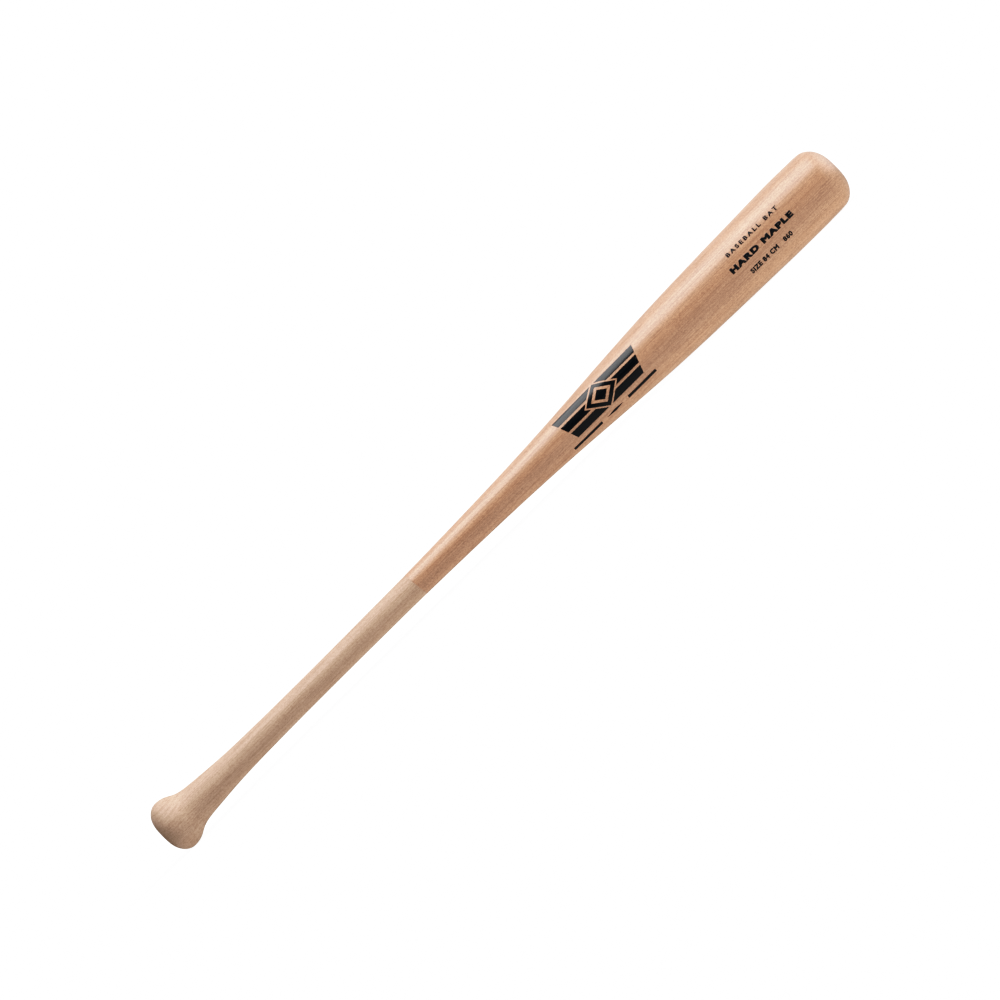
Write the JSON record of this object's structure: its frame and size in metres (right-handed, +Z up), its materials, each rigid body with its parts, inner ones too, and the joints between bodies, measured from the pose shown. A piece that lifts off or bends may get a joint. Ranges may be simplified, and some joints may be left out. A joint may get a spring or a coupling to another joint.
{
  "type": "baseball bat",
  "caption": "One-piece turned maple baseball bat with a flared knob, bare handle, clear-lacquered barrel and plain black foil marks.",
  "frame": {"origin": "on the surface that the bat lies on, under the middle of its length", "axes": "+X along the bat from the knob to the barrel, -Y out of the printed side, +Z up"},
  "size_m": [0.84, 0.064, 0.0634],
  "materials": {
    "bare_maple": "sanded bare",
    "lacquered_maple": "satin clear lacquer",
    "black_foil": "gloss transfer foil"
  },
  "bodies": {
    "root": {"turned_body": "bare_maple", "lacquer_coat": "lacquered_maple", "emblem_diamond_frame": "black_foil", "emblem_diamond_core": "black_foil", "emblem_bar_knob_side_top": "black_foil", "emblem_bar_knob_side_middle": "black_foil", "emblem_bar_knob_side_low": "black_foil", "emblem_bar_barrel_side_top": "black_foil", "emblem_bar_barrel_side_middle": "black_foil", "emblem_bar_barrel_side_low": "black_foil", "emblem_rule_knob_side": "black_foil", "emblem_rule_barrel_side": "black_foil", "emblem_rule_lozenge": "black_foil", "label_top_line": "black_foil", "label_main_line": "black_foil", "label_length_mark": "black_foil", "label_weight_mark": "black_foil"}
  },
  "joints": []
}
